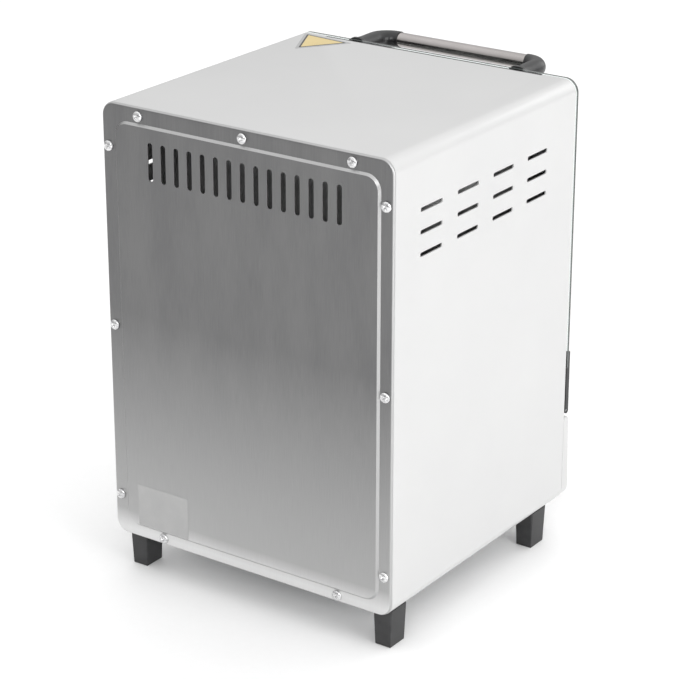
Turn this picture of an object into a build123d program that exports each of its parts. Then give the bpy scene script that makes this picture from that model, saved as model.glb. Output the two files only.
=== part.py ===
from build123d import *
import os

os.makedirs("parts", exist_ok=True)

# Millimetres. +X is the right hand side seen from the front, -Y is the front, +Z is up.
# The origin is on the bench, under the middle of the whole cabinet.

# Painted casing
body_w = 237.0
body_d = 223.0
body_h = 320.0
body_r = 10.0
sheet_t = 1.0
edge_r = 0.6
front_flange = 6.0
rear_flange = 12.0
bottom_lip = 26.0
lip_tie = 24.0
fit_gap = 0.3
foot_h = 28.5

# Vent slots in the sides
side_slot_l = 25.5
side_slot_h = 3.0
side_slot_pitch = 43.8
side_slot_row_pitch = 15.25
side_slot_from_rear = 41.5
side_slot_front_margin = 40.0
side_slot_from_top = 40.5
side_slot_rows = 3

# Rear panel with its bent rim and raised field
rim_h = 2.0
rim_bend = 1.5
rear_t = 0.8
field_h = 1.6
field_border_left = 9.6
field_border_right = 11.4
field_border_top = 11.3
field_border_bottom = 9.3
field_r = 11.0
rear_slot_l = 27.0
rear_slot_w = 4.0
rear_slot_pitch = 11.0
rear_slot_count = 15
rear_slot_from_top = 36.0

# Rear panel screws
screw_head_r = 3.8
screw_head_h = 2.4
screw_shank_r = 1.8
screw_l = 8.0
screw_play = 0.1
screw_side_inset = 5.4
screw_top_inset = 6.4
screw_bottom_inset = 5.0
screw_top_from_side = 31.5
screw_bottom_from_side = 43.5
screw_column_top = 31.0
screw_column_bottom = 30.0

# Front frame, door gasket and the seam over the door
frame_t = 1.0
seam_from_side = 26.5
seam_d = 3.0
gasket_w = 7.0
gasket_inset = 3.0
gasket_r = 8.0
service_side_play = 7.0
service_top_play = 3.0

# Chamber and the insulated space round it
chamber_side_space = 28.5
chamber_top_space = 24.0
chamber_rear_space = 37.0
chamber_t = 0.8
chamber_r = 6.0
chamber_rim = 6.0

# Shelf runners and trays
runner_t = 0.8
runner_leg = 7.0
runner_inset = 10.0
runner_first = 38.0
runner_pitch = 46.0
runner_count = 3
tray_t = 1.0
tray_rim = 8.0
tray_side_gap = 1.5
tray_front_gap = 5.0
tray_r = 5.0
tray_slot_bridge = 22.5
tray_slot_w = 6.0
tray_slot_pitch = 20.0
tray_slot_margin = 20.0
tray_slot_columns = 2

# Heating elements, their clips and guard
element_r = 3.25
element_z = 12.0
element_wall_gap = 22.0
element_middle_gap = 24.0
element_bridge = 14.0
element_front_gap = 28.0
element_flange_r = 7.0
element_flange_t = 2.0
element_tail = 16.0
element_clip_w = 8.0
element_clip_l = 6.0
close_play = 0.05
guard_z = 24.0
guard_t = 1.0
guard_side_gap = 4.0
guard_end_gap = 8.0
guard_slot_bridge = 30.0
guard_slot_w = 5.0
guard_slot_pitch = 22.0
guard_slot_margin = 16.0
guard_slot_columns = 2

# Door glass and lower rail
door_gap = 1.0
glass_t = 2.5
rail_low = 69.0
rail_h = 48.0
rail_lip_t = 1.9
rail_rebate = 12.0

# Door hinges
hinge_from_side = 23.5
hinge_pin_r = 1.25
hinge_pin_reach = 29.5
hinge_pin_inset = 0.5
hinge_leaf_w = 14.0
hinge_leaf_t = 1.5
hinge_leaf_h = 20.0
hinge_stop_gap = 0.3
hinge_stop_t = 2.7
hinge_stop_reach = 6.8
hinge_ear_t = 3.0
hinge_ear_r = 2.4
hinge_side_play = 0.4
hinge_top_play = 0.6
hinge_screw_x = 3.8
hinge_screw_drop = 5.0
hinge_screw_r = 1.2
hinge_screw_head_r = 2.3
hinge_screw_l = 6.0
hinge_gasket_gap = 4.0

# Door handle
handle_reach = 37.0
handle_drop = 6.0
tube_r = 5.4
tube_wall = 1.0
tube_plug = 5.0
collar_r = 6.0
collar_x = 54.6
arm_in_x = 61.5
arm_w = 14.0
arm_low_drop = 13.0
arm_high_drop = 1.5
arm_round = 4.0
pad_t = 4.0
pad_rise = 1.2
pad_low_drop = 22.0
handle_screw_drop = 10.0
handle_screw_r = 1.7
handle_screw_hole_r = 2.0
handle_screw_head_r = 3.0
handle_screw_head_t = 1.4
handle_screw_l = 12.0

# Control panel under the door
panel_low = 1.5
panel_top_play = 0.6
panel_ahead_high = 6.8
panel_ahead_low = 9.2
panel_seam = 0.2
panel_t = 1.2
panel_corner_r = 8.5
panel_top_r = 2.0
panel_edge_r = 1.2
stud_from_side = 14.5
stud_from_low = 11.5
stud_from_high = 12.4
boss_r = 3.0
stud_r = 2.0
stud_l = 5.0
stud_nut_flat = 7.0
stud_nut_t = 3.0

# Temperature controller, timer and their knobs
control_from_side = 60.5
controller_w = 34.0
controller_d = 30.0
timer_w = 40.0
timer_d = 36.0
control_r = 3.0
neck_r = 4.9
neck_play = 0.2
neck_out = 5.0
nut_flat = 14.0
nut_t = 2.5
shaft_r = 3.0
shaft_in = 9.0
shaft_out = 15.0
knob_play = 0.02
knob_gap = 1.2
knob_r = 18.0
knob_top_r = 15.5
knob_skirt_h = 3.0
knob_deck_h = 9.0
knob_grip_h = 16.0
knob_grip_w = 9.0
knob_recess_r = 10.5
knob_recess_h = 5.0

# Indicator lamps
lamp_x = 11.0
lamp_rise = 7.0
lamp_body_r = 3.9
lamp_bezel_r = 5.0
lamp_bezel_t = 1.2
lamp_lens_r = 3.5
lamp_out = 3.0
lamp_l = 18.0

# Temperature sensor: bulb, capillary tube and clips
bulb_r = 3.0
bulb_l = 80.0
bulb_wall_gap = 8.0
bulb_top_gap = 22.0
bulb_rear_gap = 12.0
capillary_r = 0.9
capillary_bend = 8.0
capillary_behind = 14.0
capillary_drop = 18.0
bulb_clip_w = 5.0
bulb_clip_t = 1.0

# Base plate, feet and the parts on the base plate
base_t = 1.0
foot_corner_gap = 2.7
foot_from_front = 22.7
foot_from_rear = 16.2
foot_top_w = 15.0
foot_top_l = 19.4
foot_taper = 2.6
foot_side_r = 1.6
foot_low_r = 0.8
foot_screw_r = 2.0
foot_screw_head_r = 3.6
foot_screw_head_t = 2.4
foot_screw_in = 12.0
bushing_r = 6.0
bushing_bore_r = 3.5
bushing_flange_r = 9.0
bushing_flange_t = 2.0
bushing_from_rear = 40.0
terminal_l = 40.0
terminal_w = 18.0
terminal_h = 16.0
terminal_from_side = 58.5
terminal_from_rear = 34.0
terminal_hole_r = 1.8
terminal_pitch = 12.0

# Derived places
front_reach = door_gap + glass_t + handle_reach + collar_r
rear_reach = rim_h + screw_head_h
casing_y = (front_reach - rear_reach) / 2
front_y = casing_y - body_d / 2
rear_y = casing_y + body_d / 2
top_z = foot_h + body_h
mid_z = foot_h + body_h / 2
rail_high = rail_low + rail_h
hinge_stop_low = rail_low - hinge_stop_gap - hinge_stop_t
panel_high = hinge_stop_low - panel_top_play
control_x = body_w / 2 - control_from_side
control_z = (panel_low + panel_high) / 2
lamp_z = control_z + lamp_rise
hinge_x = body_w / 2 - hinge_from_side
chamber_z = hinge_stop_low + hinge_leaf_h + hinge_gasket_gap + gasket_w + gasket_inset
chamber_w = body_w - 2 * chamber_side_space
chamber_h = body_h - chamber_z - chamber_top_space
chamber_d = body_d - sheet_t - frame_t - chamber_rear_space
frame_y = front_y + sheet_t
frame_back_y = frame_y + frame_t
chamber_back_y = frame_back_y + chamber_d
chamber_low = foot_h + chamber_z
chamber_high = chamber_low + chamber_h
chamber_mid_y = frame_back_y + chamber_d / 2
chamber_mid_z = chamber_low + chamber_h / 2
glass_back_y = front_y - door_gap
glass_front_y = glass_back_y - glass_t
rail_front_y = glass_front_y - rail_lip_t
pivot_r = (glass_back_y - rail_front_y) / 2
pivot_y = (glass_back_y + rail_front_y) / 2
pivot_z = foot_h + rail_low + pivot_r
handle_y = glass_front_y - handle_reach
handle_z = top_z - handle_drop
inner_w = body_w - 2 * sheet_t
inner_h = body_h - 2 * sheet_t
inner_r = body_r - sheet_t
lip_top_z = foot_h + sheet_t
base_top_z = lip_top_z + base_t


def facing_front(y):
    # Plane square to Y, drawn in X and Z, extruding towards the front.
    return Plane.XZ.offset(-y)


def facing_rear(y):
    # Plane square to Y, drawn in -X and Z, extruding towards the rear.
    return Plane(origin=(0, y, 0), x_dir=(-1, 0, 0), z_dir=(0, 1, 0))


def panel_front(height):
    # Y of the sloping front of the control panel at a height over the body bottom.
    share = (panel_high - height) / (panel_high - panel_low)
    return front_y - panel_ahead_high - share * (panel_ahead_low - panel_ahead_high)


def save(node, name):
    node.part.label = name
    export_step(node.part, "parts/" + name + ".step")


# Plane on the sloping front of the control panel, level with the knobs
panel_face = Plane(
    origin=(0, panel_front(control_z), foot_h + control_z),
    x_dir=(1, 0, 0),
    z_dir=(0, panel_low - panel_high, panel_ahead_low - panel_ahead_high),
)

# Casing, one painted sheet wrapped round top, sides and bottom lips
side_slot_run = body_d - side_slot_from_rear - side_slot_front_margin
side_slot_columns = int(side_slot_run / side_slot_pitch) + 1
slot_mid_y = rear_y - side_slot_from_rear - side_slot_pitch * (side_slot_columns - 1) / 2
slot_mid_z = top_z - side_slot_from_top - side_slot_row_pitch * (side_slot_rows - 1) / 2
rear_screw_x = body_w / 2 - screw_side_inset
screw_top_x = body_w / 2 - screw_top_from_side
screw_bottom_x = body_w / 2 - screw_bottom_from_side
screw_high_z = top_z - screw_column_top
screw_low_z = foot_h + screw_column_bottom
screw_column_z = (screw_high_z, (screw_high_z + screw_low_z) / 2, screw_low_z)
rear_screw_spots = [(x, top_z - screw_top_inset) for x in (-screw_top_x, 0, screw_top_x)]
rear_screw_spots += [(s * rear_screw_x, z) for s in (-1, 1) for z in screw_column_z]
rear_screw_spots += [(s * screw_bottom_x, foot_h + screw_bottom_inset) for s in (-1, 1)]
foot_x = body_w / 2 - body_r - foot_corner_gap
foot_ys = {"front": front_y + foot_from_front, "rear": rear_y - foot_from_rear}
foot_spots = [(s * foot_x, y) for s in (-1, 1) for y in foot_ys.values()]
seam_w = body_w - 2 * seam_from_side
with BuildPart() as casing:
    with BuildSketch(facing_front(rear_y)):
        with Locations((0, mid_z)):
            RectangleRounded(body_w, body_h, body_r)
    extrude(amount=body_d)
    fillet(casing.faces().sort_by(Axis.Y)[-1].outer_wire().edges(), edge_r)
    fillet(casing.faces().sort_by(Axis.Y)[0].outer_wire().edges(), edge_r)
    with BuildSketch(facing_front(rear_y - sheet_t)):
        with Locations((0, mid_z)):
            RectangleRounded(inner_w, inner_h, inner_r)
    extrude(amount=body_d - 2 * sheet_t, mode=Mode.SUBTRACT)
    with BuildSketch(facing_front(rear_y)):
        with Locations((0, mid_z)):
            RectangleRounded(body_w - 2 * rear_flange, body_h - 2 * rear_flange, inner_r)
        with Locations(*rear_screw_spots):
            Circle(screw_shank_r + screw_play)
    extrude(amount=sheet_t, mode=Mode.SUBTRACT)
    with BuildSketch(facing_front(frame_y)):
        with Locations((0, mid_z)):
            RectangleRounded(body_w - 2 * front_flange, body_h - 2 * front_flange, body_r)
    extrude(amount=sheet_t, mode=Mode.SUBTRACT)
    with BuildSketch(Plane.XY.offset(foot_h)):
        with Locations((0, casing_y)):
            Rectangle(body_w - 2 * bottom_lip, body_d - 2 * lip_tie)
        with Locations(*foot_spots):
            Circle(foot_screw_r + screw_play)
    extrude(amount=sheet_t, mode=Mode.SUBTRACT)
    with BuildSketch(Plane.YZ.offset(-body_w / 2)):
        with Locations((slot_mid_y, slot_mid_z)):
            with GridLocations(side_slot_pitch, side_slot_row_pitch, side_slot_columns, side_slot_rows):
                RectangleRounded(side_slot_l, side_slot_h, side_slot_h * 0.35)
    extrude(amount=body_w, mode=Mode.SUBTRACT)
    with BuildSketch(Plane.XY.offset(top_z)):
        with Locations((0, front_y + seam_d / 2)):
            Rectangle(seam_w, seam_d)
    extrude(amount=-front_flange, mode=Mode.SUBTRACT)
save(casing, "casing")

# Rear panel, a shallow tray with a raised field and upright vent slots
rear_panel_w = body_w - fit_gap
rear_panel_h = body_h - fit_gap
field_w = body_w - field_border_left - field_border_right
field_z = body_h - field_border_top - field_border_bottom
field_x = (field_border_left - field_border_right) / 2
field_mid_z = foot_h + field_border_bottom + field_z / 2
pocket_inset = rear_t * 0.8
with BuildPart() as rear_panel:
    with BuildSketch(facing_rear(rear_y)):
        with Locations((0, mid_z)):
            RectangleRounded(rear_panel_w, rear_panel_h, body_r)
    extrude(amount=rim_h)
    fillet(rear_panel.faces().sort_by(Axis.Y)[-1].outer_wire().edges(), rim_bend)
    with BuildSketch(facing_rear(rear_y + rim_h)):
        with Locations((-field_x, field_mid_z)):
            RectangleRounded(field_w, field_z, field_r)
    extrude(amount=field_h, taper=45)
    with BuildSketch(facing_rear(rear_y)):
        with Locations((-field_x, field_mid_z)):
            RectangleRounded(field_w - pocket_inset, field_z - pocket_inset, field_r)
    extrude(amount=rim_h - rear_t, mode=Mode.SUBTRACT)
    with BuildSketch(facing_rear(rear_y + rim_h - rear_t)):
        with Locations((-field_x, field_mid_z)):
            RectangleRounded(field_w - pocket_inset, field_z - pocket_inset, field_r)
    extrude(amount=field_h, taper=45, mode=Mode.SUBTRACT)
    with BuildSketch(facing_rear(rear_y)):
        with Locations((-field_x, top_z - rear_slot_from_top)):
            with GridLocations(rear_slot_pitch, rear_slot_l, rear_slot_count, 1):
                SlotOverall(rear_slot_l, rear_slot_w, rotation=90)
    extrude(amount=rim_h + field_h, mode=Mode.SUBTRACT)
    with BuildSketch(facing_front(rear_y + rim_h)):
        with Locations(*rear_screw_spots):
            Circle(screw_shank_r + screw_play)
    extrude(amount=rim_h, mode=Mode.SUBTRACT)
save(rear_panel, "rear_panel")

# Rear screws, pan heads against the rim of the rear panel
dome_h = screw_head_h * 0.6
dome_r = (screw_head_r**2 + dome_h**2) / (2 * dome_h)
dome_middle = (screw_head_r / 2, screw_head_h - dome_r + (dome_r**2 - screw_head_r**2 / 4) ** 0.5)
with BuildPart() as pan_screw:
    with BuildSketch(Plane.XZ):
        with BuildLine():
            Line((0, -screw_l), (screw_shank_r, -screw_l))
            Line((screw_shank_r, -screw_l), (screw_shank_r, 0))
            Line((screw_shank_r, 0), (screw_head_r, 0))
            Line((screw_head_r, 0), (screw_head_r, screw_head_h - dome_h))
            ThreePointArc((screw_head_r, screw_head_h - dome_h), dome_middle, (0, screw_head_h))
            Line((0, screw_head_h), (0, -screw_l))
        make_face()
    revolve(axis=Axis.Z)
with BuildPart() as rear_screws:
    with Locations(*[Location((x, rear_y + rim_h, z), (-90, 0, 0)) for x, z in rear_screw_spots]):
        add(pan_screw.part)
save(rear_screws, "rear_screws")

# Front frame, black enamelled plate behind the front flange, with a lip that fills the seam
stud_x = body_w / 2 - stud_from_side
stud_heights = (panel_low + stud_from_low, panel_high - stud_from_high)
stud_spots = [(s * stud_x, foot_h + h) for s in (-1, 1) for h in stud_heights]
service_w = 2 * (control_x + timer_w / 2 + service_side_play)
service_h = timer_w + 2 * service_top_play
leaf_low_z = foot_h + hinge_stop_low
hinge_screw_z = leaf_low_z + hinge_leaf_h - hinge_screw_drop
hinge_screw_spots = [
    (s * hinge_x + t * hinge_screw_x, hinge_screw_z) for s in (-1, 1) for t in (-1, 1)
]
with BuildPart() as front_frame:
    with BuildSketch(facing_front(frame_back_y)):
        with Locations((0, mid_z)):
            RectangleRounded(inner_w - fit_gap, inner_h - fit_gap, inner_r)
        with Locations((0, chamber_mid_z)):
            RectangleRounded(chamber_w, chamber_h, chamber_r, mode=Mode.SUBTRACT)
        with Locations((0, foot_h + control_z)):
            RectangleRounded(service_w, service_h, chamber_r, mode=Mode.SUBTRACT)
        with Locations(*stud_spots):
            Circle(stud_r + screw_play, mode=Mode.SUBTRACT)
        with Locations(*hinge_screw_spots):
            Circle(hinge_screw_r + screw_play, mode=Mode.SUBTRACT)
    extrude(amount=frame_t)
    seam_back_y = front_y + seam_d - fit_gap
    with BuildSketch(Plane.YZ.offset(fit_gap - seam_w / 2)):
        with BuildLine():
            Polyline(
                (front_y, top_z - fit_gap),
                (seam_back_y, top_z - fit_gap),
                (seam_back_y, top_z - sheet_t - fit_gap),
                (frame_y, top_z - sheet_t - fit_gap),
                (frame_y, top_z - front_flange + fit_gap),
                (front_y, top_z - front_flange + fit_gap),
                close=True,
            )
        make_face()
    extrude(amount=seam_w - 2 * fit_gap)
save(front_frame, "front_frame")

# Door gasket, black silicone frame round the chamber mouth
gasket_in_w = chamber_w + 2 * gasket_inset
gasket_in_h = chamber_h + 2 * gasket_inset
gasket_t = sheet_t + door_gap - fit_gap
with BuildPart() as door_gasket:
    with BuildSketch(facing_front(frame_y)):
        with Locations((0, chamber_mid_z)):
            RectangleRounded(gasket_in_w + 2 * gasket_w, gasket_in_h + 2 * gasket_w, gasket_r + gasket_w)
            RectangleRounded(gasket_in_w, gasket_in_h, gasket_r, mode=Mode.SUBTRACT)
    extrude(amount=gasket_t)
    fillet(door_gasket.faces().sort_by(Axis.Y)[0].edges(), gasket_t * 0.4)
save(door_gasket, "door_gasket")

# Chamber, bright liner open to the front
element_far_x = chamber_w / 2 - element_wall_gap
element_leg_xs = (-element_far_x, -element_middle_gap, element_middle_gap, element_far_x)
element_spots = [(x, chamber_low + element_z) for x in element_leg_xs]
bulb_x = bulb_wall_gap - chamber_w / 2
bulb_z = chamber_high - bulb_top_gap
with BuildPart() as chamber:
    with BuildSketch(facing_rear(frame_back_y)):
        with Locations((0, chamber_mid_z)):
            RectangleRounded(chamber_w + 2 * chamber_rim, chamber_h + 2 * chamber_rim, 2 * chamber_r)
    extrude(amount=chamber_t)
    with BuildSketch(facing_rear(frame_back_y)):
        with Locations((0, chamber_mid_z)):
            RectangleRounded(chamber_w + 2 * chamber_t, chamber_h + 2 * chamber_t, chamber_r + chamber_t)
    extrude(amount=chamber_d + chamber_t)
    with BuildSketch(facing_rear(frame_back_y)):
        with Locations((0, chamber_mid_z)):
            RectangleRounded(chamber_w, chamber_h, chamber_r)
    extrude(amount=chamber_d, mode=Mode.SUBTRACT)
    with BuildSketch(facing_front(chamber_back_y + chamber_t)):
        with Locations(*element_spots):
            Circle(element_r + screw_play)
        with Locations((bulb_x, bulb_z)):
            Circle(capillary_r + screw_play)
    extrude(amount=chamber_t, mode=Mode.SUBTRACT)
save(chamber, "chamber")

# Shelf runners, angle strips on both chamber walls
with BuildPart() as shelf_runners:
    for side in (-1, 1):
        for level in range(runner_count):
            wall_x = side * chamber_w / 2
            strip_z = chamber_low + runner_first + level * runner_pitch
            with BuildSketch(facing_front(chamber_back_y - runner_inset)):
                with BuildLine():
                    Polyline(
                        (wall_x, strip_z),
                        (wall_x - side * runner_leg, strip_z),
                        (wall_x - side * runner_leg, strip_z - runner_t),
                        (wall_x - side * runner_t, strip_z - runner_t),
                        (wall_x - side * runner_t, strip_z - runner_leg),
                        (wall_x, strip_z - runner_leg),
                        close=True,
                    )
                make_face()
            extrude(amount=chamber_d - 2 * runner_inset)
save(shelf_runners, "shelf_runners")

# Shelf trays on the runners, each a slotted floor with an upright rim along its edge
tray_w = chamber_w - 2 * tray_side_gap
tray_d = chamber_d - 2 * tray_front_gap
tray_slot_l = tray_w / 2 - tray_slot_bridge
tray_slot_rows = int((tray_d - 2 * tray_slot_margin) / tray_slot_pitch) + 1
for level, name in enumerate(("shelf_tray_lower", "shelf_tray_upper")):
    tray_z = chamber_low + runner_first + level * runner_pitch
    with BuildPart() as tray_floor:
        with BuildSketch(Plane.XY.offset(tray_z)):
            with Locations((0, chamber_mid_y)):
                RectangleRounded(tray_w, tray_d, tray_r)
                with GridLocations(tray_w / 2, tray_slot_pitch, tray_slot_columns, tray_slot_rows):
                    SlotOverall(tray_slot_l, tray_slot_w, mode=Mode.SUBTRACT)
        extrude(amount=tray_t)
    save(tray_floor, name)
    with BuildPart() as tray_edge:
        with BuildSketch(Plane.XY.offset(tray_z + tray_t)):
            with Locations((0, chamber_mid_y)):
                RectangleRounded(tray_w, tray_d, tray_r)
                RectangleRounded(
                    tray_w - 2 * tray_t, tray_d - 2 * tray_t, tray_r - tray_t, mode=Mode.SUBTRACT
                )
        extrude(amount=tray_rim - tray_t)
    save(tray_edge, name + "_rim")

# Heating elements, two sheathed U tubes through the rear wall
element_mid_z = chamber_low + element_z
element_front_y = frame_back_y + element_front_gap
element_end_y = chamber_back_y + chamber_t + element_tail
with BuildPart() as heating_elements:
    for side in (-1, 1):
        near_x = side * element_middle_gap
        far_x = side * element_far_x
        with BuildLine():
            FilletPolyline(
                (near_x, element_end_y, element_mid_z),
                (near_x, element_front_y, element_mid_z),
                (far_x, element_front_y, element_mid_z),
                (far_x, element_end_y, element_mid_z),
                radius=(element_far_x - element_middle_gap - element_bridge) / 2,
            )
        with BuildSketch(Plane(origin=(near_x, element_end_y, element_mid_z), z_dir=(0, -1, 0))):
            Circle(element_r)
        sweep()
    with BuildSketch(facing_front(chamber_back_y)):
        with Locations(*element_spots):
            Circle(element_flange_r)
    extrude(amount=element_flange_t)
save(heating_elements, "heating_elements")

# Element clips, saddles under the front bend of each element
element_clip_x = (element_middle_gap + element_far_x) / 2
with BuildPart() as element_clips:
    with BuildSketch(facing_front(element_front_y + element_clip_l / 2)):
        with Locations((-element_clip_x, chamber_low), (element_clip_x, chamber_low)):
            Rectangle(element_clip_w, element_z, align=(Align.CENTER, Align.MIN))
    extrude(amount=element_clip_l)
    with BuildSketch(Plane.YZ.offset(-chamber_w / 2)):
        with Locations((element_front_y, element_mid_z)):
            Circle(element_r + close_play)
    extrude(amount=chamber_w, mode=Mode.SUBTRACT)
save(element_clips, "element_clips")

# Element guard, slotted bridge over the elements
guard_w = chamber_w - 2 * (chamber_r + guard_side_gap)
guard_d = chamber_d - 2 * guard_end_gap
guard_slot_l = guard_w / 2 - guard_slot_bridge
guard_slot_rows = int((guard_d - 2 * guard_slot_margin) / guard_slot_pitch) + 1
with BuildPart() as element_guard:
    with BuildSketch(facing_rear(frame_back_y + guard_end_gap)):
        with Locations((0, chamber_low)):
            Rectangle(guard_w, guard_z, align=(Align.CENTER, Align.MIN))
            Rectangle(
                guard_w - 2 * guard_t,
                guard_z - guard_t,
                align=(Align.CENTER, Align.MIN),
                mode=Mode.SUBTRACT,
            )
    extrude(amount=guard_d)
    with BuildSketch(Plane.XY.offset(chamber_low + guard_z - guard_t)):
        with Locations((0, chamber_mid_y)):
            with GridLocations(guard_w / 2, guard_slot_pitch, guard_slot_columns, guard_slot_rows):
                SlotOverall(guard_slot_l, guard_slot_w)
    extrude(amount=guard_t, mode=Mode.SUBTRACT)
save(element_guard, "element_guard")

# Hollow of the control panel, cut from it below
panel_w = body_w - fit_gap
with BuildPart() as panel_hollow:
    with BuildSketch(Plane.YZ.offset(panel_t - panel_w / 2)):
        with BuildLine():
            Polyline(
                (front_y, foot_h + panel_low + panel_t),
                (panel_front(panel_low + panel_t) + panel_t, foot_h + panel_low + panel_t),
                (panel_front(panel_high - panel_t) + panel_t, foot_h + panel_high - panel_t),
                (front_y, foot_h + panel_high - panel_t),
                close=True,
            )
        make_face()
    extrude(amount=panel_w - 2 * panel_t)
    fillet(panel_hollow.edges().filter_by(Axis.Y).group_by(Axis.Z)[0], panel_corner_r - panel_t)

# Control panel, folded white cover with a sloping face, bosses and studs behind
with BuildPart() as control_panel:
    with BuildSketch(Plane.YZ.offset(-panel_w / 2)):
        with BuildLine():
            Polyline(
                (front_y - panel_seam, foot_h + panel_low),
                (panel_front(panel_low), foot_h + panel_low),
                (panel_front(panel_high), foot_h + panel_high),
                (front_y - panel_seam, foot_h + panel_high),
                close=True,
            )
        make_face()
    extrude(amount=panel_w)
    fillet(control_panel.edges().filter_by(Axis.Y).group_by(Axis.Z)[0], panel_corner_r)
    fillet(control_panel.edges().filter_by(Axis.Y).group_by(Axis.Z)[-1], panel_top_r)
    fillet(control_panel.faces().sort_by(Axis.Y)[0].outer_wire().edges(), panel_edge_r)
    add(panel_hollow.part, mode=Mode.SUBTRACT)
    for height in stud_heights:
        boss_y = panel_front(height) + panel_t / 2
        with BuildSketch(facing_rear(boss_y)):
            with Locations((-stud_x, foot_h + height), (stud_x, foot_h + height)):
                Circle(boss_r)
        extrude(amount=frame_y - boss_y)
    with BuildSketch(facing_rear(frame_y)):
        with Locations(*stud_spots):
            Circle(stud_r)
    extrude(amount=frame_t + stud_l)
    with BuildSketch(panel_face.offset(-panel_t * 2)):
        with Locations((-control_x, 0), (control_x, 0)):
            Circle(neck_r + neck_play)
        with Locations((-lamp_x, lamp_z - control_z), (lamp_x, lamp_z - control_z)):
            Circle(lamp_body_r + screw_play)
    extrude(amount=panel_t * 3, mode=Mode.SUBTRACT)
save(control_panel, "control_panel")

# Panel nuts on the studs behind the front frame
with BuildPart() as panel_nuts:
    with BuildSketch(facing_rear(frame_back_y)):
        with Locations(*stud_spots):
            RegularPolygon(stud_nut_flat / 2, 6, major_radius=False)
            Circle(stud_r + close_play, mode=Mode.SUBTRACT)
    extrude(amount=stud_nut_t)
save(panel_nuts, "panel_nuts")

# Temperature controller and timer, each with a neck, nut, shaft and knob
for name, control_name, side_x, control_w, control_d in (
    ("temperature", "temperature_controller", -control_x, controller_w, controller_d),
    ("timer", "timer", control_x, timer_w, timer_d),
):
    with BuildPart() as control_unit:
        with BuildSketch(panel_face.offset(-panel_t - control_d)):
            with Locations((side_x, 0)):
                RectangleRounded(control_w, control_w, control_r)
        extrude(amount=control_d)
        with BuildSketch(panel_face.offset(-panel_t)):
            with Locations((side_x, 0)):
                Circle(neck_r)
        extrude(amount=panel_t + neck_out)
        with BuildSketch(panel_face.offset(-shaft_in - close_play)):
            with Locations((side_x, 0)):
                Circle(shaft_r + close_play)
        extrude(amount=shaft_in + neck_out + close_play, mode=Mode.SUBTRACT)
    save(control_unit, control_name)
    with BuildPart() as neck_nut:
        with BuildSketch(panel_face):
            with Locations((side_x, 0)):
                RegularPolygon(nut_flat / 2, 6, major_radius=False)
                Circle(neck_r + close_play, mode=Mode.SUBTRACT)
        extrude(amount=nut_t)
    save(neck_nut, name + "_nut")
    with BuildPart() as control_shaft:
        with BuildSketch(panel_face.offset(-shaft_in)):
            with Locations((side_x, 0)):
                Circle(shaft_r)
        extrude(amount=shaft_in + shaft_out)
    save(control_shaft, name + "_shaft")
    with BuildPart() as control_knob:
        with BuildSketch(panel_face.offset(knob_gap)):
            with Locations((side_x, 0)):
                Circle(knob_r)
        extrude(amount=knob_skirt_h)
        fillet(control_knob.faces().sort_by(Axis.Y)[0].edges(), knob_skirt_h * 0.4)
        with BuildSketch(panel_face.offset(knob_gap + knob_skirt_h)):
            with Locations((side_x, 0)):
                Circle(knob_top_r)
        extrude(amount=knob_deck_h - knob_skirt_h, taper=4)
        with BuildSketch(panel_face.offset(knob_gap + knob_skirt_h)):
            with Locations((side_x, 0)):
                RectangleRounded(knob_grip_w, 2 * knob_top_r, knob_grip_w * 0.45)
        extrude(amount=knob_grip_h - knob_skirt_h, taper=4)
        fillet(control_knob.faces().sort_by(Axis.Y)[0].edges(), knob_grip_w * 0.1)
        with BuildSketch(panel_face.offset(knob_gap)):
            with Locations((side_x, 0)):
                Circle(knob_recess_r)
        extrude(amount=knob_recess_h, mode=Mode.SUBTRACT)
        with BuildSketch(panel_face.offset(knob_gap)):
            with Locations((side_x, 0)):
                Circle(shaft_r + knob_play)
        extrude(amount=shaft_out - knob_gap, mode=Mode.SUBTRACT)
    save(control_knob, name + "_knob")

# Indicator lamps, bezel and lens in front of the panel
for name, side_x in (("power_lamp", -lamp_x), ("heating_lamp", lamp_x)):
    with BuildPart() as lamp:
        with BuildSketch(panel_face.offset(-lamp_l)):
            with Locations((side_x, lamp_z - control_z)):
                Circle(lamp_body_r)
        extrude(amount=lamp_l)
        with BuildSketch(panel_face):
            with Locations((side_x, lamp_z - control_z)):
                Circle(lamp_bezel_r)
        extrude(amount=lamp_bezel_t)
        with BuildSketch(panel_face):
            with Locations((side_x, lamp_z - control_z)):
                Circle(lamp_lens_r)
        extrude(amount=lamp_out)
        fillet(lamp.faces().sort_by(Axis.Y)[0].edges(), lamp_lens_r * 0.3)
    save(lamp, name)

# Temperature sensor, bulb in the chamber with a capillary tube to the controller
bulb_end_y = chamber_back_y - bulb_rear_gap
bulb_start_y = bulb_end_y - bulb_l
controller_rear = panel_face.offset(-panel_t - controller_d).from_local_coords((-control_x, 0, 0))
capillary_y = chamber_back_y + chamber_t + capillary_behind
capillary_low_z = chamber_low - capillary_drop
capillary_turn_y = controller_rear.Y + 2 * capillary_bend
with BuildPart() as temperature_sensor:
    with BuildSketch(facing_rear(bulb_start_y)):
        with Locations((-bulb_x, bulb_z)):
            Circle(bulb_r)
    extrude(amount=bulb_l)
    fillet(temperature_sensor.edges().filter_by(GeomType.CIRCLE), bulb_r * 0.5)
    with BuildLine():
        FilletPolyline(
            (bulb_x, bulb_end_y - bulb_r, bulb_z),
            (bulb_x, capillary_y, bulb_z),
            (bulb_x, capillary_y, capillary_low_z),
            (-control_x, capillary_turn_y, capillary_low_z),
            (-control_x, capillary_turn_y, controller_rear.Z),
            (-control_x, controller_rear.Y + close_play, controller_rear.Z),
            radius=capillary_bend,
        )
    with BuildSketch(Plane(origin=(bulb_x, bulb_end_y - bulb_r, bulb_z), z_dir=(0, 1, 0))):
        Circle(capillary_r)
    sweep()
save(temperature_sensor, "temperature_sensor")

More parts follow.
